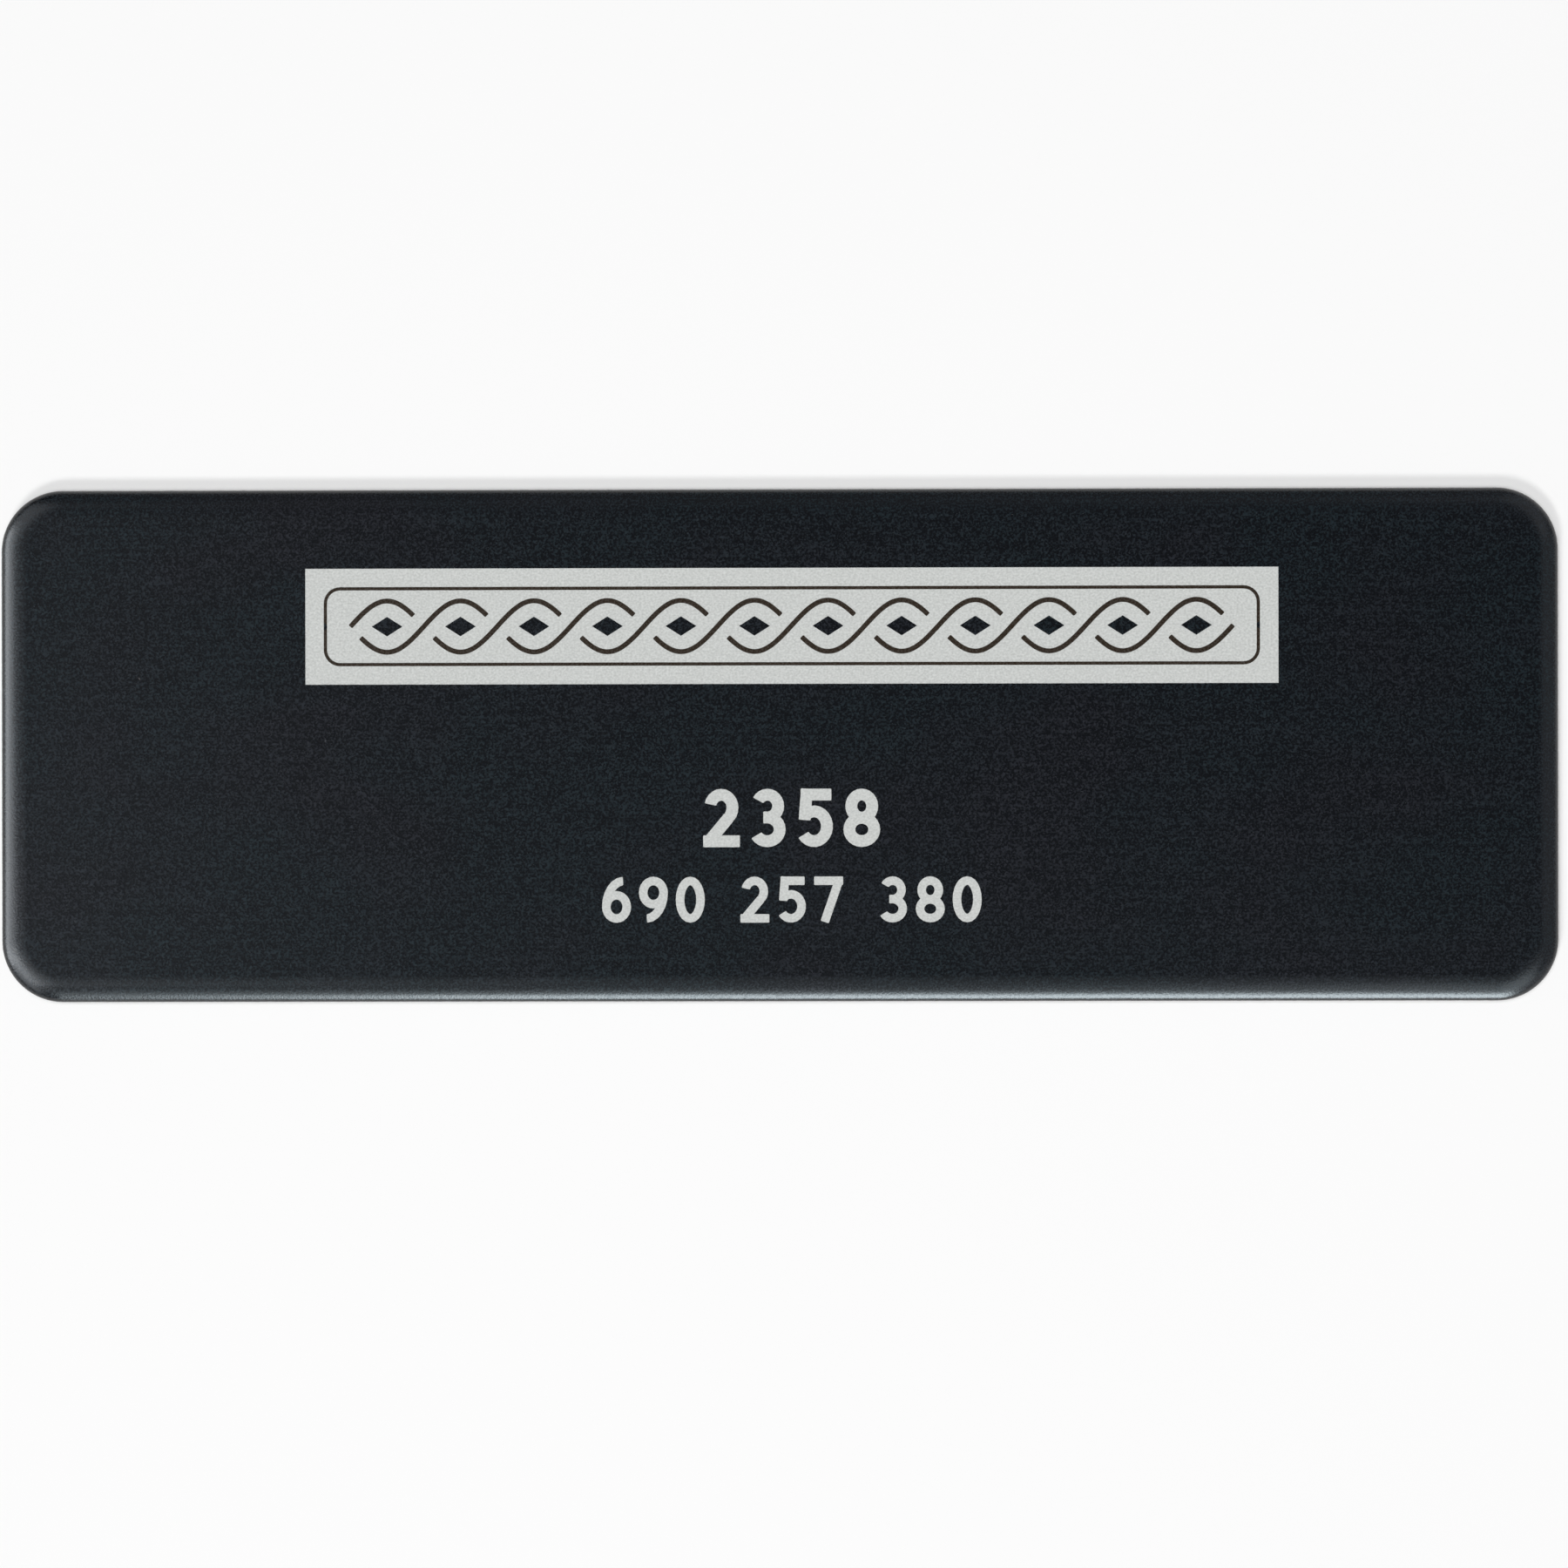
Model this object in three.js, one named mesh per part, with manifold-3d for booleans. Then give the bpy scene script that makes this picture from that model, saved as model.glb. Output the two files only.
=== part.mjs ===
// A name badge: a black anodised aluminium plate with rounded corners and a rolled front
// edge, whose marking is a shallow burn through the black film, and a plain steel strip
// glued to its back, which a magnet behind the wearer's cloth holds.
//
// Millimetres. +X runs along the badge to the right, +Y up its face and +Z out of the face.
// The origin is the middle of the strip's back, on which the badge lies, face up.

import * as THREE from "three";
import { mergeVertices } from "three/addons/utils/BufferGeometryUtils.js";
import Module from "manifold-3d";

const wasm = await Module();
wasm.setup();

// The plate, stamped from sheet, which rolls its front edge over all round.
const PLATE_LENGTH = 76;
const PLATE_WIDTH = 25;
const PLATE_THICKNESS = 1.3;
const PLATE_CORNER_RADIUS = 3;
const EDGE_ROLL_WIDTH = 1.3;
const EDGE_ROLL_DEPTH = 0.65;

// The ornamental band burnt into the face, a little to the right of the plate's middle.
const BAND_LENGTH = 47.45;
const BAND_HEIGHT = 5.66;
const BAND_TOP_MARGIN = 3.85;
const MARKING_SHIFT = 0.65;
const MARKING_DEPTH = 0.04;

// The steel strip on the back, and the film of glue that holds it.
const STRIP_LENGTH = 45;
const STRIP_WIDTH = 13;
const STRIP_THICKNESS = 0.8;
const STRIP_CORNER_RADIUS = 1.5;
const STRIP_EDGE_RADIUS = 0.2;
const GLUE_FILM = 0.05;

// How finely curves are cut into flats.
const PLATE_CORNER_STEPS = 14;
const EDGE_ROLL_STEPS = 8;
const STRIP_CORNER_STEPS = 8;
const STRIP_EDGE_STEPS = 3;

const BACK_Z = STRIP_THICKNESS + GLUE_FILM;

const blackAnodised = new THREE.MeshStandardMaterial({
  color: 0x1c2125,
  roughness: 0.5,
  metalness: 0.6,
});
const nickelPlate = new THREE.MeshStandardMaterial({
  color: 0xb9b6ae,
  roughness: 0.35,
  metalness: 1,
});

// A rectangle centred on the origin, with its four corners rounded.
function roundedRectangle(length, width, radius) {
  const x = length / 2;
  const y = width / 2;
  const outline = new THREE.Shape();
  outline.moveTo(x, -y + radius);
  outline.absarc(x - radius, y - radius, radius, 0, Math.PI / 2);
  outline.absarc(-x + radius, y - radius, radius, Math.PI / 2, Math.PI);
  outline.absarc(-x + radius, -y + radius, radius, Math.PI, 1.5 * Math.PI);
  outline.absarc(x - radius, -y + radius, radius, 1.5 * Math.PI, 2 * Math.PI);
  return outline;
}

// A geometry as a solid that can be joined and cut.
function toSolid(geometry) {
  const bare = geometry.clone();
  bare.deleteAttribute("normal");
  bare.deleteAttribute("uv");
  const merged = mergeVertices(bare, 1e-4);
  return new wasm.Manifold(
    new wasm.Mesh({
      numProp: 3,
      vertProperties: merged.attributes.position.array,
      triVerts: new Uint32Array(merged.index.array),
    }),
  );
}

// A solid as a flat-shaded geometry.
function toGeometry(solid) {
  const mesh = solid.getMesh();
  const indexed = new THREE.BufferGeometry();
  indexed.setAttribute("position", new THREE.BufferAttribute(mesh.vertProperties, 3));
  indexed.setIndex(new THREE.BufferAttribute(mesh.triVerts, 1));
  const geometry = indexed.toNonIndexed();
  geometry.computeVertexNormals();
  return geometry;
}

// A box given by its lowest and highest corners.
function boxBetween(low, high) {
  const size = new THREE.Vector3().subVectors(high, low);
  const middle = new THREE.Vector3().addVectors(low, high).multiplyScalar(0.5);
  return new THREE.BoxGeometry(size.x, size.y, size.z).translate(middle.x, middle.y, middle.z);
}

// The plate stands with its back at z = 0. The extrusion rolls both of its edges over, and
// the whole of the lower roll is then cut away, which leaves a flat, square back.
function plateGeometry() {
  const outline = roundedRectangle(PLATE_LENGTH, PLATE_WIDTH, PLATE_CORNER_RADIUS);
  const rolled = new THREE.ExtrudeGeometry(outline, {
    depth: PLATE_THICKNESS,
    bevelThickness: EDGE_ROLL_DEPTH,
    bevelSize: EDGE_ROLL_WIDTH,
    bevelOffset: -EDGE_ROLL_WIDTH,
    bevelSegments: EDGE_ROLL_STEPS,
    curveSegments: PLATE_CORNER_STEPS,
  }).translate(0, 0, -EDGE_ROLL_DEPTH);

  const waste = boxBetween(
    new THREE.Vector3(-PLATE_LENGTH, -PLATE_WIDTH, -PLATE_THICKNESS - 2 * EDGE_ROLL_DEPTH),
    new THREE.Vector3(PLATE_LENGTH, PLATE_WIDTH, 0),
  );

  const bandTop = PLATE_WIDTH / 2 - BAND_TOP_MARGIN;
  const band = boxBetween(
    new THREE.Vector3(
      MARKING_SHIFT - BAND_LENGTH / 2,
      bandTop - BAND_HEIGHT,
      PLATE_THICKNESS - MARKING_DEPTH,
    ),
    new THREE.Vector3(
      MARKING_SHIFT + BAND_LENGTH / 2,
      bandTop,
      PLATE_THICKNESS + MARKING_DEPTH,
    ),
  );
  return toGeometry(toSolid(rolled).subtract(toSolid(waste)).subtract(toSolid(band)));
}

// The strip stands with its back at z = 0, and its sharp edges are rounded off.
function stripGeometry() {
  const outline = roundedRectangle(STRIP_LENGTH, STRIP_WIDTH, STRIP_CORNER_RADIUS);
  return new THREE.ExtrudeGeometry(outline, {
    depth: STRIP_THICKNESS - 2 * STRIP_EDGE_RADIUS,
    bevelThickness: STRIP_EDGE_RADIUS,
    bevelSize: STRIP_EDGE_RADIUS,
    bevelOffset: -STRIP_EDGE_RADIUS,
    bevelSegments: STRIP_EDGE_STEPS,
    curveSegments: STRIP_CORNER_STEPS,
  }).translate(0, 0, STRIP_EDGE_RADIUS);
}

const badgePlate = new THREE.Mesh(plateGeometry(), blackAnodised);
badgePlate.name = "badge_plate";
badgePlate.position.z = BACK_Z;

const keeperStrip = new THREE.Mesh(stripGeometry(), nickelPlate);
keeperStrip.name = "keeper_strip";

const badge = new THREE.Group();
badge.add(badgePlate, keeperStrip);

export default badge;
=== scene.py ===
import math

import bmesh
import bpy
from mathutils import Matrix, Vector


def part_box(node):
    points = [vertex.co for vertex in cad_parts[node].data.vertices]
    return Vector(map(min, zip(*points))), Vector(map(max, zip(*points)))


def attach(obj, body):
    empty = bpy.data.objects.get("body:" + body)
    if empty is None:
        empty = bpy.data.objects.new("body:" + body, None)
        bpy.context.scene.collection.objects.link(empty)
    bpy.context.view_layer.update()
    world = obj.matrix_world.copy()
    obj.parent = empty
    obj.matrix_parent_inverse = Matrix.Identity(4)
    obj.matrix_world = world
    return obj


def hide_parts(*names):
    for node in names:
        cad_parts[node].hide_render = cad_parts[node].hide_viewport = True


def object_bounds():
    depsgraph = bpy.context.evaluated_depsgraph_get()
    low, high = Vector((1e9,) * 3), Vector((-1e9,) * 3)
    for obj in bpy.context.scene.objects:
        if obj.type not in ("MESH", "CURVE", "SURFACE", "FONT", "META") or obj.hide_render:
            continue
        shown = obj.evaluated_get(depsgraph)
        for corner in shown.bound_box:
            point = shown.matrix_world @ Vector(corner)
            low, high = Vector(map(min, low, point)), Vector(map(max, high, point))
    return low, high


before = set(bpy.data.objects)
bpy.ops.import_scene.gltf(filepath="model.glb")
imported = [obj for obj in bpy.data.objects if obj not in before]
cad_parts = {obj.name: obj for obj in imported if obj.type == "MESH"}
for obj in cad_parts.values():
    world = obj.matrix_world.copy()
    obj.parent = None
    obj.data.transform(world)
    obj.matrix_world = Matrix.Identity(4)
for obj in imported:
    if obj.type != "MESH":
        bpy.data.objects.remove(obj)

cad_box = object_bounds()


# Camera
# The photograph looks straight down on the badge as it lies on its back. The plate's outline
# in it, in pixels of its 1800 x 1800 frame, gives the lens and the point looked at. The lean
# brings the plate's right end nearer, which moves its middle in the picture to the right.
PHOTO_SIDE_PX = 1800
PLATE_LEFT_PX = 2.1
PLATE_RIGHT_PX = 1789.0
PLATE_TOP_PX = 561.6
PLATE_BOTTOM_PX = 1148.7
CAMERA_DISTANCE = 0.42
CAMERA_LEAN = math.radians(1.3)
CAMERA_ROLL = math.radians(-0.1)

plate_low, plate_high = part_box("badge_plate")
pixels_per_metre = (PLATE_RIGHT_PX - PLATE_LEFT_PX) / (plate_high.x - plate_low.x)
moved_by_lean = plate_high.x ** 2 * math.tan(CAMERA_LEAN) / CAMERA_DISTANCE
view_centre = Vector((
    (PHOTO_SIDE_PX / 2 - (PLATE_LEFT_PX + PLATE_RIGHT_PX) / 2) / pixels_per_metre
    + moved_by_lean,
    ((PLATE_TOP_PX + PLATE_BOTTOM_PX) / 2 - PHOTO_SIDE_PX / 2) / pixels_per_metre,
    (plate_low.z + plate_high.z) / 2,
))

camera = bpy.data.objects.new("camera", bpy.data.cameras.new("camera"))
bpy.context.scene.collection.objects.link(camera)
bpy.context.scene.camera = camera
camera.data.lens = (
    pixels_per_metre * CAMERA_DISTANCE * camera.data.sensor_width / PHOTO_SIDE_PX
)
camera.rotation_euler = (0.0, CAMERA_LEAN, CAMERA_ROLL)
camera.location = view_centre + CAMERA_DISTANCE * Vector(
    (math.sin(CAMERA_LEAN), 0.0, math.cos(CAMERA_LEAN))
)


# Ornamental band
# Bare metal, from which a laser has burnt the plate's black film in a plain rectangle. It
# leaves thin lines of the film standing: a rounded frame, two strands that pass over and
# under each other, and a lozenge in every eye between them.
MARKING_SHIFT = 0.65e-3
BURN_DEPTH = 0.04e-3
OVERCUT = 0.1e-3
BAND_LENGTH = 47.45e-3
BAND_HEIGHT = 5.66e-3
BAND_TOP_MARGIN = 3.85e-3
FRAME_INSET = 0.9e-3
FRAME_LINE = 0.16e-3
FRAME_CORNER_RADIUS = 0.8e-3
FRAME_CORNER_STEPS = 8
CHAIN_EYES = 12
CHAIN_END_GAP = 1.3e-3
CROSSING_GAP = 0.14
STRAND_REACH = 1.25e-3
STRAND_LINE = 0.24e-3
STRAND_STEPS = 48
STRAND_END_RADIUS = 0.05e-3
RIBBON_END_STEPS = 3
LOZENGE_LENGTH = 1.5e-3
LOZENGE_HEIGHT = 0.95e-3
SAME_PLACE = 1.0e-7
BARE_METAL_DARK = (0.455, 0.468, 0.455)
BARE_METAL_LIGHT = (0.61, 0.624, 0.61)
BARE_METAL_ROUGHNESS = 0.7
BARE_METAL_IOR = 1.3
RASTER_GRAINS = (9000.0, 11000.0, 9000.0)
RASTER_DETAIL = 2.0
RASTER_RANGE = (0.3, 0.7)

band_centre = Vector((
    MARKING_SHIFT,
    plate_high.y - BAND_TOP_MARGIN - BAND_HEIGHT / 2,
    0.0,
))


def add_object(name, shape):
    """Makes an object of a bmesh, which it frees."""
    mesh = bpy.data.meshes.new(name)
    shape.to_mesh(mesh)
    shape.free()
    made = bpy.data.objects.new(name, mesh)
    bpy.context.scene.collection.objects.link(made)
    return made


def add_rectangle(shape, centre, length, height):
    """Adds one flat rectangle to a shape, and returns its face."""
    place = Matrix.Translation(centre) @ Matrix.Diagonal((length, height, 1.0, 1.0))
    made = bmesh.ops.create_grid(shape, x_segments=1, y_segments=1, size=0.5, matrix=place)
    return made["verts"][0].link_faces[0]


def add_ribbon(shape, path, steps, breadth, end_radius):
    """Adds a flat ribbon along a path, which turns a share of the way, 0 to 1, into a point.

    The corners of its ends are rounded. A ring has none."""
    nearby = 1.0e-3
    made = bmesh.ops.create_grid(shape, x_segments=steps, y_segments=1, size=0.5)
    for vert in made["verts"]:
        share = vert.co.x + 0.5
        ahead = path(share + nearby) - path(share - nearby)
        across = Vector((-ahead.y, ahead.x, 0.0)).normalized()
        vert.co = path(share) + across * vert.co.y * breadth
    bmesh.ops.remove_doubles(shape, verts=made["verts"], dist=SAME_PLACE)
    corners = [
        vert for vert in made["verts"] if vert.is_valid and len(vert.link_faces) == 1
    ]
    if corners:
        bmesh.ops.bevel(
            shape, geom=corners, offset=end_radius, offset_type="OFFSET",
            affect="VERTICES", segments=RIBBON_END_STEPS, profile=0.5, material=-1,
        )


def add_frame_line(shape, centre, length, height):
    """Adds a line round a rectangle with rounded corners."""
    face = add_rectangle(shape, centre, length, height)
    bmesh.ops.bevel(
        shape, geom=face.verts[:], offset=FRAME_CORNER_RADIUS, offset_type="OFFSET",
        affect="VERTICES", segments=FRAME_CORNER_STEPS, profile=0.5, material=-1,
    )
    inner = max(shape.faces, key=lambda found: found.calc_area())
    bmesh.ops.inset_region(
        shape, faces=[inner], thickness=FRAME_LINE, use_boundary=True, use_even_offset=True,
    )
    bmesh.ops.delete(shape, geom=[inner], context="FACES")


def add_strand(shape, start_x, eye_length, first, last, side):
    """Adds one stretch of a strand: a wave from one crossing to another, counted in eyes."""
    def path(share):
        eye = first + share * (last - first)
        rise = side * STRAND_REACH * math.sin(math.pi * eye)
        return Vector((start_x + eye * eye_length, band_centre.y + rise, 0.0))

    add_ribbon(shape, path, STRAND_STEPS, STRAND_LINE, STRAND_END_RADIUS)


def add_lozenge(shape, x):
    """Adds one lozenge on the band's middle line."""
    place = Matrix.Translation((x, band_centre.y, 0.0)) @ Matrix.Diagonal(
        (LOZENGE_LENGTH / 2, LOZENGE_HEIGHT / 2, 1.0, 1.0)
    )
    bmesh.ops.create_circle(shape, cap_ends=True, segments=4, radius=1.0, matrix=place)


def raise_flats(shape, bottom_z, top_z):
    """Turns flat outlines into upright solids between two heights."""
    for vert in shape.verts:
        vert.co.z = bottom_z
    raised = bmesh.ops.extrude_face_region(shape, geom=shape.faces[:])
    lifted = [item for item in raised["geom"] if isinstance(item, bmesh.types.BMVert)]
    bmesh.ops.translate(shape, vec=(0.0, 0.0, top_z - bottom_z), verts=lifted)
    bmesh.ops.recalc_face_normals(shape, faces=shape.faces[:])


def combine(piece, other, operation, overlaps=False):
    """Cuts other out of piece, or keeps what they share. overlaps: other overlaps itself."""
    change = piece.modifiers.new("combine", "BOOLEAN")
    change.operation = operation
    change.solver = "EXACT"
    change.use_self = overlaps
    change.object = other
    seen = piece.evaluated_get(bpy.context.evaluated_depsgraph_get())
    mesh = bpy.data.meshes.new_from_object(seen)
    piece.modifiers.clear()
    piece.data = mesh


def new_finish(name):
    """A material, its nodes, its links and its surface shader."""
    finish = bpy.data.materials.new(name)
    finish.use_nodes = True
    tree = finish.node_tree
    return finish, tree.nodes, tree.links, tree.nodes["Principled BSDF"]


def stretched_noise(nodes, links, places, grains, detail):
    """Noise with a number of grains to the metre along X, along Y and along Z."""
    mapping = nodes.new("ShaderNodeMapping")
    mapping.inputs["Scale"].default_value = grains
    links.new(places, mapping.inputs["Vector"])
    noise = nodes.new("ShaderNodeTexNoise")
    noise.inputs["Scale"].default_value = 1.0
    noise.inputs["Detail"].default_value = detail
    links.new(mapping.outputs["Vector"], noise.inputs["Vector"])
    return noise.outputs["Fac"]


def ramp(nodes, links, value, low, high, low_colour, high_colour):
    """Turns values from low to high into colours between two colours."""
    made = nodes.new("ShaderNodeValToRGB")
    made.color_ramp.elements[0].position = low
    made.color_ramp.elements[0].color = (*low_colour, 1.0)
    made.color_ramp.elements[1].position = high
    made.color_ramp.elements[1].color = (*high_colour, 1.0)
    links.new(value, made.inputs["Fac"])
    return made.outputs["Color"]


def add_bump(nodes, links, height, distance, shader):
    """Raises the surface of a shader by a height, distance metres at most."""
    bump = nodes.new("ShaderNodeBump")
    bump.inputs["Distance"].default_value = distance
    bump.inputs["Strength"].default_value = 1.0
    links.new(height, bump.inputs["Height"])
    links.new(bump.outputs["Normal"], shader.inputs["Normal"])


band_lines = bmesh.new()
add_frame_line(
    band_lines, band_centre, BAND_LENGTH - 2 * FRAME_INSET, BAND_HEIGHT - 2 * FRAME_INSET
)
chain_length = BAND_LENGTH - 2 * FRAME_INSET - 2 * CHAIN_END_GAP
chain_start = band_centre.x - chain_length / 2
eye_length = chain_length / CHAIN_EYES
for crossing in range(CHAIN_EYES + 1):
    first = max(crossing - 1 + CROSSING_GAP, 0)
    last = min(crossing + 1 - CROSSING_GAP, CHAIN_EYES)
    side = 1 if crossing % 2 == 0 else -1
    add_strand(band_lines, chain_start, eye_length, first, last, side)
first_lozenge_x = chain_start + eye_length / 2
for eye in range(CHAIN_EYES):
    add_lozenge(band_lines, first_lozenge_x + eye * eye_length)
raise_flats(band_lines, plate_high.z - 2 * OVERCUT, plate_high.z + 2 * OVERCUT)
band_line_cutter = add_object("band_lines", band_lines)

band_ground = bmesh.new()
add_rectangle(band_ground, band_centre, BAND_LENGTH, BAND_HEIGHT)
raise_flats(band_ground, plate_high.z - BURN_DEPTH, plate_high.z + OVERCUT)
burnt_band = add_object("burnt_band", band_ground)
combine(burnt_band, band_line_cutter, "DIFFERENCE")
bpy.data.objects.remove(band_line_cutter)

bare_metal, nodes, links, shader = new_finish("burnt_metal")
places = nodes.new("ShaderNodeTexCoord").outputs["Object"]
raster = stretched_noise(nodes, links, places, RASTER_GRAINS, RASTER_DETAIL)
metal = ramp(nodes, links, raster, *RASTER_RANGE, BARE_METAL_DARK, BARE_METAL_LIGHT)
links.new(metal, shader.inputs["Base Color"])
shader.inputs["Roughness"].default_value = BARE_METAL_ROUGHNESS
shader.inputs["IOR"].default_value = BARE_METAL_IOR
burnt_band.data.materials.clear()
burnt_band.data.materials.append(bare_metal)
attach(burnt_band, "root")


# Digits
# Two lines of plain digits, burnt down to the same bare metal in the same pass as the band.
# A digit is made of ribbons. Its points count from 0 to 1 across it and from 0 to 1 up it. A
# bar reaches half its breadth past both points, a slope and an arc end square at them.
UPPER_DIGITS = "2358"
UPPER_HEIGHT = 2.85e-3
UPPER_WEIGHT = 0.58e-3
UPPER_BASELINE = -4.97e-3
LOWER_DIGITS = "690 257 380"
LOWER_HEIGHT = 2.25e-3
LOWER_WEIGHT = 0.42e-3
LOWER_BASELINE = -8.65e-3
DIGIT_WIDTH = 0.63
DIGIT_GAP = 0.17
GROUP_GAP = 0.6
DIGIT_ARC_STEP = 15
DIGIT_END_RADIUS = 0.045e-3
DIGIT_STROKES = {
    "0": [("arc", 0.5, 0.5, 0.5, 0.5, 0, 360)],
    "2": [
        ("arc", 0.49, 0.72, 0.45, 0.28, 165, -44),
        ("slope", 0.814, 0.526, 0.0, 0.0),
        ("bar", 0.0, 0.0, 1.0, 0.0),
    ],
    "3": [
        ("arc", 0.47, 0.755, 0.43, 0.245, 150, -90),
        ("arc", 0.46, 0.255, 0.5, 0.255, 90, -150),
        ("slope", 0.3, 0.51, 0.5, 0.51),
    ],
    "5": [
        ("bar", 0.92, 1.0, 0.16, 1.0),
        ("bar", 0.16, 1.0, 0.1, 0.58),
        ("arc", 0.46, 0.32, 0.52, 0.32, 132, -145),
    ],
    "6": [("arc", 0.5, 0.31, 0.5, 0.31, 0, 360), ("arc", 0.85, 0.31, 0.85, 0.69, 180, 92)],
    "7": [("bar", 0.0, 1.0, 1.0, 1.0), ("slope", 1.0, 1.0, 0.3, -0.1)],
    "8": [("arc", 0.5, 0.75, 0.42, 0.25, 0, 360), ("arc", 0.5, 0.25, 0.5, 0.25, 0, 360)],
    "9": [("arc", 0.5, 0.69, 0.5, 0.31, 0, 360), ("arc", 0.15, 0.69, 0.85, 0.69, 0, -88)],
}


def add_digit(shape, digit, left, baseline, height, weight):
    """Adds the ribbons of one digit, which stands on the baseline."""
    def point(across, up):
        return Vector((
            left + weight / 2 + across * (DIGIT_WIDTH * height - weight),
            baseline + weight / 2 + up * (height - weight),
            0.0,
        ))

    def add_arc(centre_x, centre_y, reach_x, reach_y, start, end):
        def path(share):
            turn = math.radians(start + share * (end - start))
            return point(
                centre_x + reach_x * math.cos(turn), centre_y + reach_y * math.sin(turn)
            )

        steps = round(abs(end - start) / DIGIT_ARC_STEP)
        add_ribbon(shape, path, steps, weight, DIGIT_END_RADIUS)

    def add_line(start_x, start_y, end_x, end_y, past_ends):
        start = point(start_x, start_y)
        end = point(end_x, end_y)
        past = (end - start).normalized() * past_ends

        def path(share):
            return (start - past).lerp(end + past, share)

        add_ribbon(shape, path, 1, weight, DIGIT_END_RADIUS)

    for kind, *numbers in DIGIT_STROKES[digit]:
        if kind == "arc":
            add_arc(*numbers)
        elif kind == "bar":
            add_line(*numbers, weight / 2)
        else:
            add_line(*numbers, 0.0)


def add_digits(name, digits, height, weight, baseline):
    """Adds a line of digits, centred on the marking, as solids that reach through the face."""
    advance = {"digit": (DIGIT_WIDTH + DIGIT_GAP) * height, "gap": GROUP_GAP * height}
    steps = [advance["gap"] if digit == " " else advance["digit"] for digit in digits]
    length = sum(steps) - DIGIT_GAP * height
    left = MARKING_SHIFT - length / 2
    strokes = bmesh.new()
    for digit, step in zip(digits, steps):
        if digit != " ":
            add_digit(strokes, digit, left, baseline, height, weight)
        left += step
    raise_flats(strokes, plate_high.z - 2 * OVERCUT, plate_high.z + 2 * OVERCUT)
    stroke_solids = add_object("strokes", strokes)

    ground = bmesh.new()
    middle = Vector((MARKING_SHIFT, baseline + height / 2, 0.0))
    add_rectangle(ground, middle, 2 * length, 2 * height)
    raise_flats(ground, plate_high.z - BURN_DEPTH, plate_high.z + OVERCUT)
    made = add_object(name, ground)
    combine(made, stroke_solids, "INTERSECT", overlaps=True)
    bpy.data.objects.remove(stroke_solids)
    return made


upper_digits = add_digits(
    "upper_digits", UPPER_DIGITS, UPPER_HEIGHT, UPPER_WEIGHT, UPPER_BASELINE
)
lower_digits = add_digits(
    "lower_digits", LOWER_DIGITS, LOWER_HEIGHT, LOWER_WEIGHT, LOWER_BASELINE
)
for digits in (upper_digits, lower_digits):
    digits.data.materials.clear()
    digits.data.materials.append(bare_metal)
    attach(digits, "root")


# Badge plate
# Sheet aluminium, stamped out so that its front edge rolls over, brushed along its length
# and anodised black. The markings lie as thin bare metal on the floors of their pockets, and
# the burning has browned the film between them.
PLATE_CORNER_RADIUS = 3.0e-3
PLATE_CORNER_STEPS = 24
EDGE_ROLL_WIDTH = 1.3e-3
EDGE_ROLL_DEPTH = 0.65e-3
EDGE_ROLL_STEPS = 16
BACK_EDGE_RADIUS = 0.08e-3
BACK_EDGE_STEPS = 3
SHARP_ANGLE = math.radians(35)
BARE_METAL_THICKNESS = 0.015e-3
FILM_DARK = (0.0, 0.0004, 0.0018)
FILM_LIGHT = (0.0066, 0.0158, 0.0212)
FILM_WARM = (0.0116, 0.0128, 0.0190)
FILM_BROWNED = (0.024, 0.016, 0.010)
FILM_SMOOTH = (0.24, 0.24, 0.24)
FILM_ROUGH = (0.40, 0.40, 0.40)
FILM_IOR = 1.5
BRUSHING_GRAINS = (150.0, 9000.0, 9000.0)
BRUSHING_DETAIL = 4.0
PITTING_GRAINS = (10500.0, 10500.0, 10500.0)
PITTING_DETAIL = 2.0
PITTING_SHARE = 0.85
GRAIN_RANGE = (0.44, 0.78)
GRAIN_HEIGHT = 8.0e-6
CLOUD_GRAINS = (110.0, 160.0, 110.0)
CLOUD_DETAIL = 2.0
CLOUD_RANGE = (0.42, 0.66)
LOZENGE_MARGIN = 1.06

# Each fleck has its x, y, length, width, turn in degrees and colour. It is opaque as far out
# as its core, and fades from there to its rim.
FLECK_CORE = 0.3
FLECKS = (
    (-31.2e-3, 3.3e-3, 0.22e-3, 0.05e-3, -50, (0.10, 0.09, 0.09)),
    (-26.7e-3, 2.45e-3, 0.10e-3, 0.06e-3, 20, (0.03, 0.03, 0.035)),
    (-22.1e-3, 0.25e-3, 0.12e-3, 0.07e-3, 70, (0.06, 0.06, 0.065)),
    (-28.1e-3, 0.02e-3, 0.07e-3, 0.06e-3, 0, (0.04, 0.04, 0.045)),
)


def rounded_sheet(low, high, corner_radius, corner_steps):
    """A flat sheet between two corners of its box, with its upright corners rounded."""
    size = high - low
    sheet = bmesh.new()
    place = Matrix.Translation((low + high) / 2) @ Matrix.Diagonal((*size, 1.0))
    bmesh.ops.create_cube(sheet, size=1.0, matrix=place)
    upright = [
        edge for edge in sheet.edges
        if abs(edge.verts[0].co.z - edge.verts[1].co.z) > size.z / 2
    ]
    bmesh.ops.bevel(
        sheet, geom=upright, offset=corner_radius, offset_type="OFFSET",
        affect="EDGES", segments=corner_steps, profile=0.5, material=-1,
    )
    return sheet


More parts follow.
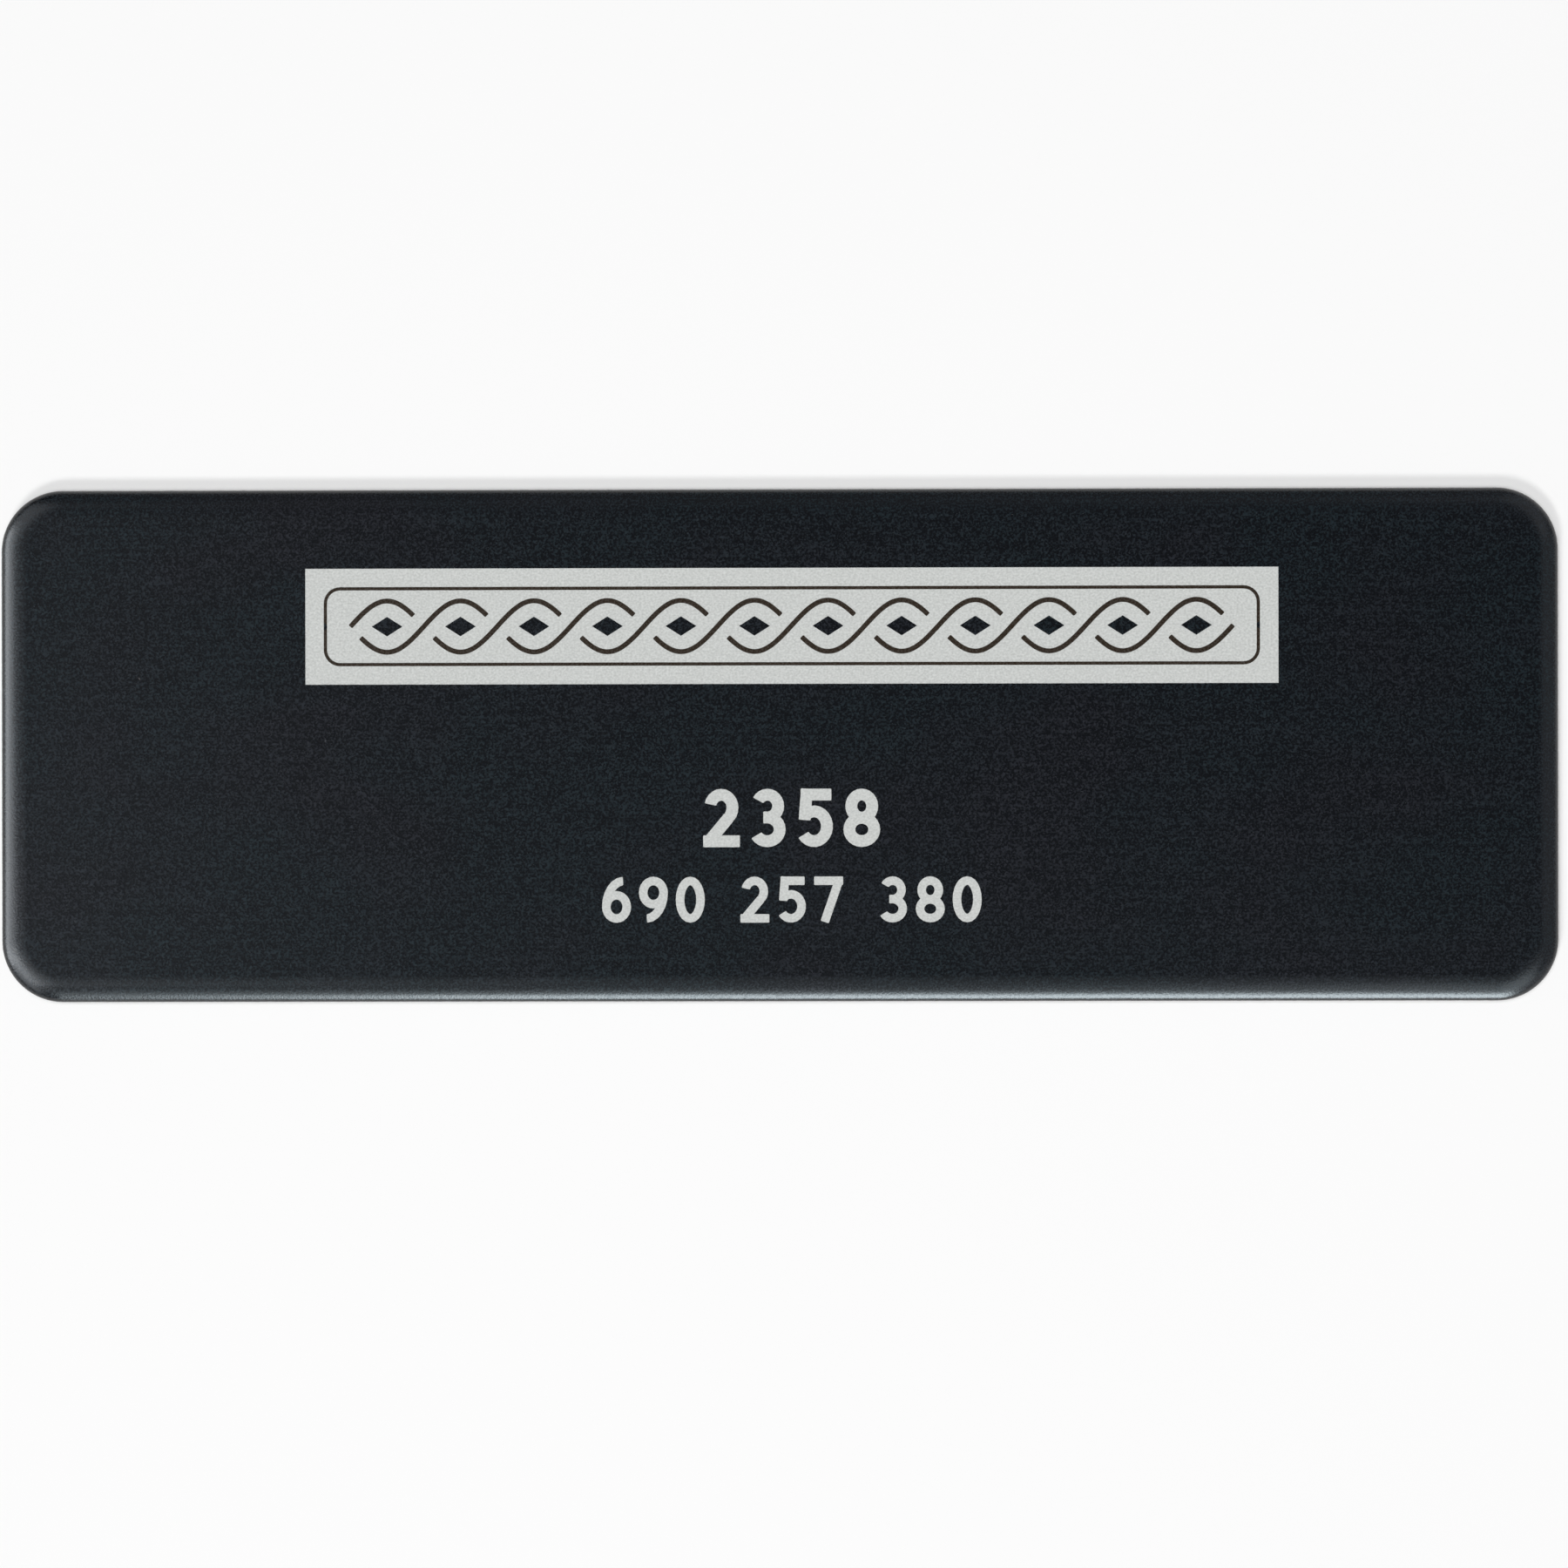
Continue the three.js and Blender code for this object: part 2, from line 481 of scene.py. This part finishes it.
def roll_rim(sheet, rim_z, width, depth, steps):
    """Rounds the rim at height rim_z, width across the face and depth down the side.

    The sheet is stretched upright while a round bevel is cut, which leaves an oval one."""
    rim = [
        edge for edge in sheet.edges
        if all(abs(vert.co.z - rim_z) < SAME_PLACE for vert in edge.verts)
    ]
    from_rim = Matrix.Translation((0.0, 0.0, -rim_z))
    stretch = width / depth
    bmesh.ops.scale(sheet, vec=(1.0, 1.0, stretch), space=from_rim, verts=sheet.verts[:])
    bmesh.ops.bevel(
        sheet, geom=rim, offset=width, offset_type="OFFSET",
        affect="EDGES", segments=steps, profile=0.5, material=-1,
    )
    bmesh.ops.scale(sheet, vec=(1.0, 1.0, 1 / stretch), space=from_rim, verts=sheet.verts[:])


def shade_by_angle(piece):
    """Shades a piece smooth across its curves, and keeps its flats flat and its edges sharp."""
    most_by_largest_face = 100
    for polygon in piece.data.polygons:
        polygon.use_smooth = True
    piece.data.set_sharp_from_angle(angle=SHARP_ANGLE)
    normals = piece.modifiers.new("flat faces", "WEIGHTED_NORMAL")
    normals.keep_sharp = True
    normals.weight = most_by_largest_face


def blend(nodes, links, share, first, second):
    """Mixes a colour with a second one, plain or from a node, by a share from 0 to 1."""
    made = nodes.new("ShaderNodeMixRGB")
    links.new(share, made.inputs["Fac"])
    links.new(first, made.inputs["Color1"])
    if isinstance(second, tuple):
        made.inputs["Color2"].default_value = (*second, 1.0)
    else:
        links.new(second, made.inputs["Color2"])
    return made.outputs["Color"]


def places_on(nodes, links, places, x, y, reach_x, reach_y, turn=0.0):
    """Places as seen from a turned spot on the face, counted in its reach each way."""
    mapping = nodes.new("ShaderNodeMapping")
    mapping.vector_type = "TEXTURE"
    mapping.inputs["Location"].default_value = (x, y, 0.0)
    mapping.inputs["Rotation"].default_value = (0.0, 0.0, turn)
    mapping.inputs["Scale"].default_value = (reach_x, reach_y, 1.0)
    links.new(places, mapping.inputs["Vector"])
    return mapping.outputs["Vector"]


def inside_shape(nodes, links, spot, reach):
    """A value that is 1 within the reach of a spot on the face and 0 beyond it.

    reach is MAXIMUM for a rectangle round the spot and ADD for a lozenge."""
    distance = nodes.new("ShaderNodeVectorMath")
    distance.operation = "ABSOLUTE"
    links.new(spot, distance.inputs[0])
    split = nodes.new("ShaderNodeSeparateXYZ")
    links.new(distance.outputs["Vector"], split.inputs["Vector"])
    both = nodes.new("ShaderNodeMath")
    both.operation = reach
    links.new(split.outputs["X"], both.inputs[0])
    links.new(split.outputs["Y"], both.inputs[1])
    inside = nodes.new("ShaderNodeMath")
    inside.operation = "LESS_THAN"
    inside.inputs[1].default_value = 1.0
    links.new(both.outputs["Value"], inside.inputs[0])
    return inside.outputs["Value"]


def repeat_along(nodes, links, spot, step):
    """Places along a row of like spots, each seen from its nearest spot."""
    far_off = 1.0e3
    row = nodes.new("ShaderNodeVectorMath")
    row.operation = "WRAP"
    links.new(spot, row.inputs[0])
    row.inputs[1].default_value = (step / 2, far_off, far_off)
    row.inputs[2].default_value = (-step / 2, -far_off, -far_off)
    return row.outputs["Vector"]


def inside_oval(nodes, links, spot):
    """A value that is 1 in the middle of a spot and fades to 0 at its reach."""
    distance = nodes.new("ShaderNodeVectorMath")
    distance.operation = "LENGTH"
    links.new(spot, distance.inputs[0])
    return ramp(
        nodes, links, distance.outputs["Value"], FLECK_CORE, 1.0,
        (1.0, 1.0, 1.0), (0.0, 0.0, 0.0),
    )


plate_shape = rounded_sheet(plate_low, plate_high, PLATE_CORNER_RADIUS, PLATE_CORNER_STEPS)
roll_rim(plate_shape, plate_high.z, EDGE_ROLL_WIDTH, EDGE_ROLL_DEPTH, EDGE_ROLL_STEPS)
roll_rim(plate_shape, plate_low.z, BACK_EDGE_RADIUS, BACK_EDGE_RADIUS, BACK_EDGE_STEPS)
plate = add_object("engraved_plate", plate_shape)
for marking in (burnt_band, upper_digits, lower_digits):
    combine(plate, marking, "DIFFERENCE")
    for vert in marking.data.vertices:
        if vert.co.z > plate_high.z:
            vert.co.z = plate_high.z - BURN_DEPTH + BARE_METAL_THICKNESS
shade_by_angle(plate)

anodised, nodes, links, shader = new_finish("black_anodised")
places = nodes.new("ShaderNodeTexCoord").outputs["Object"]
brushing = stretched_noise(nodes, links, places, BRUSHING_GRAINS, BRUSHING_DETAIL)
pitting = stretched_noise(nodes, links, places, PITTING_GRAINS, PITTING_DETAIL)
texture = nodes.new("ShaderNodeMix")
texture.inputs["Factor"].default_value = PITTING_SHARE
links.new(brushing, texture.inputs["A"])
links.new(pitting, texture.inputs["B"])
grain = texture.outputs["Result"]
film = ramp(nodes, links, grain, *GRAIN_RANGE, FILM_DARK, FILM_LIGHT)
clouds = stretched_noise(nodes, links, places, CLOUD_GRAINS, CLOUD_DETAIL)
warm_share = ramp(nodes, links, clouds, *CLOUD_RANGE, (0.0, 0.0, 0.0), (1.0, 1.0, 1.0))
warm_film = ramp(nodes, links, grain, *GRAIN_RANGE, FILM_DARK, FILM_WARM)
film = blend(nodes, links, warm_share, film, warm_film)

band_spot = places_on(
    nodes, links, places, band_centre.x, band_centre.y, BAND_LENGTH / 2, BAND_HEIGHT / 2
)
lozenge_reach = LOZENGE_LENGTH / 2 * LOZENGE_MARGIN
lozenge_spot = places_on(
    nodes, links, places, first_lozenge_x, band_centre.y,
    lozenge_reach, LOZENGE_HEIGHT / 2 * LOZENGE_MARGIN,
)
lozenge_spot = repeat_along(nodes, links, lozenge_spot, eye_length / lozenge_reach)
thin_lines = nodes.new("ShaderNodeMath")
thin_lines.operation = "SUBTRACT"
links.new(inside_shape(nodes, links, band_spot, "MAXIMUM"), thin_lines.inputs[0])
links.new(inside_shape(nodes, links, lozenge_spot, "ADD"), thin_lines.inputs[1])
film = blend(nodes, links, thin_lines.outputs["Value"], film, FILM_BROWNED)
for x, y, length, width, turn, colour in FLECKS:
    spot = places_on(
        nodes, links, places, x, y, length / 2, width / 2, math.radians(turn)
    )
    film = blend(nodes, links, inside_oval(nodes, links, spot), film, colour)
links.new(film, shader.inputs["Base Color"])
matt = ramp(nodes, links, grain, *GRAIN_RANGE, FILM_SMOOTH, FILM_ROUGH)
links.new(matt, shader.inputs["Roughness"])
shader.inputs["IOR"].default_value = FILM_IOR
add_bump(nodes, links, grain, GRAIN_HEIGHT, shader)
plate.data.materials.clear()
plate.data.materials.append(anodised)
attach(plate, "root")
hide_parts("badge_plate")


# Keeper strip
# The fixed half of a magnetic fastening: a plain strip of nickel-plated steel, glued to the
# back of the plate, which a magnet behind the cloth holds.
STRIP_CORNER_RADIUS = 1.5e-3
STRIP_CORNER_STEPS = 12
STRIP_EDGE_RADIUS = 0.2e-3
STRIP_EDGE_STEPS = 5
NICKEL_DARK = (0.50, 0.48, 0.44)
NICKEL_LIGHT = (0.58, 0.56, 0.52)
NICKEL_ROUGHNESS = 0.3
ROLLING_GRAINS = (300.0, 9000.0, 9000.0)
ROLLING_DETAIL = 3.0
ROLLING_RANGE = (0.3, 0.7)
ROLLING_HEIGHT = 1.0e-6

strip_low, strip_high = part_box("keeper_strip")
strip_shape = rounded_sheet(strip_low, strip_high, STRIP_CORNER_RADIUS, STRIP_CORNER_STEPS)
for rim_z in (strip_high.z, strip_low.z):
    roll_rim(strip_shape, rim_z, STRIP_EDGE_RADIUS, STRIP_EDGE_RADIUS, STRIP_EDGE_STEPS)
strip = add_object("steel_strip", strip_shape)
shade_by_angle(strip)

nickel, nodes, links, shader = new_finish("nickel_plate")
places = nodes.new("ShaderNodeTexCoord").outputs["Object"]
rolling = stretched_noise(nodes, links, places, ROLLING_GRAINS, ROLLING_DETAIL)
plating = ramp(nodes, links, rolling, *ROLLING_RANGE, NICKEL_DARK, NICKEL_LIGHT)
links.new(plating, shader.inputs["Base Color"])
shader.inputs["Metallic"].default_value = 1.0
shader.inputs["Roughness"].default_value = NICKEL_ROUGHNESS
add_bump(nodes, links, rolling, ROLLING_HEIGHT, shader)
strip.data.materials.clear()
strip.data.materials.append(nickel)
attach(strip, "root")
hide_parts("keeper_strip")


# Studio
# A white table, a soft light straight above it and a smaller key light from the lower left.
# The panels round the badge only show as gleams along its rolled edge and as a sheen on its
# face. Each takes up so many degrees of the way round, from one height to another.
FLOOR_SIDE = 4.0
FLOOR_WHITE = 0.9
SURROUNDINGS_STRENGTH = 0.05
LAMP_TINT = (0.95, 1.0, 1.05)
WINDOW_TINT = (0.9, 1.02, 1.08)
GLEAM_DISTANCE = 0.3

floor_shape = bmesh.new()
bmesh.ops.create_grid(floor_shape, x_segments=1, y_segments=1, size=FLOOR_SIDE / 2)
bmesh.ops.translate(floor_shape, vec=(0.0, 0.0, cad_box[0][2]), verts=floor_shape.verts[:])
floor = add_object("floor", floor_shape)
table_top, _, _, shader = new_finish("table_top")
shader.inputs["Base Color"].default_value = (FLOOR_WHITE, FLOOR_WHITE, FLOOR_WHITE, 1.0)
shader.inputs["Roughness"].default_value = 1.0
shader.inputs["Specular IOR Level"].default_value = 0.0
floor.data.materials.append(table_top)

world = bpy.data.worlds.new("studio")
bpy.context.scene.world = world
world.use_nodes = True
surroundings = world.node_tree.nodes["Background"]
surroundings.inputs["Color"].default_value = (1.0, 1.0, 1.0, 1.0)
surroundings.inputs["Strength"].default_value = SURROUNDINGS_STRENGTH


def add_soft_light(name, towards, elevation, distance, side_x, side_y, radiance):
    """Adds a rectangular light that faces the badge, from a compass direction and a height.

    towards is the way round from +X, in degrees, and radiance the light's own brightness."""
    data = bpy.data.lights.new(name, "AREA")
    data.shape = "RECTANGLE"
    data.size = side_x
    data.size_y = side_y
    data.energy = radiance * math.pi * side_x * side_y
    light = bpy.data.objects.new(name, data)
    bpy.context.scene.collection.objects.link(light)
    turn = math.radians(towards)
    rise = math.radians(elevation)
    away = Vector((
        math.cos(rise) * math.cos(turn), math.cos(rise) * math.sin(turn), math.sin(rise)
    ))
    light.location = away * distance
    light.rotation_euler = away.to_track_quat("Z", "Y").to_euler()
    return light


for name, towards, elevation, distance, side, radiance in (
    ("overhead_light", -90, 90, 1.0, 0.2, 62.5),
    ("key_light", -110, 67, 0.9, 0.14, 34.0),
):
    lamp = add_soft_light(name, towards, elevation, distance, side, side, radiance)
    lamp.visible_glossy = False
for name, towards, around, lowest, highest, radiance, tint in (
    ("gleam_near_low", -83, 31, 0, 30, 14.0, WINDOW_TINT),
    ("gleam_near_middle", -90, 45, 30, 45, 2.0, WINDOW_TINT),
    ("gleam_near_high", -90, 45, 45, 60, 0.4, WINDOW_TINT),
    ("gleam_near_top", -95, 115, 60, 84, 0.41, WINDOW_TINT),
    ("gleam_near_left_low", -146, 44, 12, 32, 2.2, LAMP_TINT),
    ("gleam_near_left_middle", -150, 38, 32, 53, 5.2, LAMP_TINT),
    ("gleam_near_left_high", -142, 40, 53, 66, 1.6, LAMP_TINT),
    ("gleam_left_low", 180, 45, 7, 30, 6.1, LAMP_TINT),
    ("gleam_left_middle", 180, 45, 30, 45, 3.0, LAMP_TINT),
    ("gleam_left_high", 180, 45, 45, 78, 0.3, LAMP_TINT),
    ("gleam_far_left", 144, 38, 15, 60, 1.1, LAMP_TINT),
    ("gleam_far", 90, 45, 0, 64, 0.18, LAMP_TINT),
    ("gleam_far_top", 90, 120, 64, 84, 0.11, LAMP_TINT),
    ("gleam_far_right", 45, 45, 0, 55, 0.5, LAMP_TINT),
    ("gleam_right", 0, 45, 0, 60, 0.38, LAMP_TINT),
    ("gleam_near_right_low", -45, 45, 0, 30, 0.7, LAMP_TINT),
    ("gleam_near_right_high", -54, 36, 30, 60, 2.2, WINDOW_TINT),
):
    middle = (lowest + highest) / 2
    breadth = 2 * GLEAM_DISTANCE * math.tan(math.radians(around / 2))
    height = 2 * GLEAM_DISTANCE * math.tan(math.radians((highest - lowest) / 2))
    gleam = add_soft_light(
        name, towards, middle, GLEAM_DISTANCE,
        breadth * math.cos(math.radians(middle)), height, radiance,
    )
    gleam.data.color = tint
    gleam.visible_diffuse = False
    gleam.visible_camera = False

bpy.context.scene.view_settings.view_transform = "Standard"
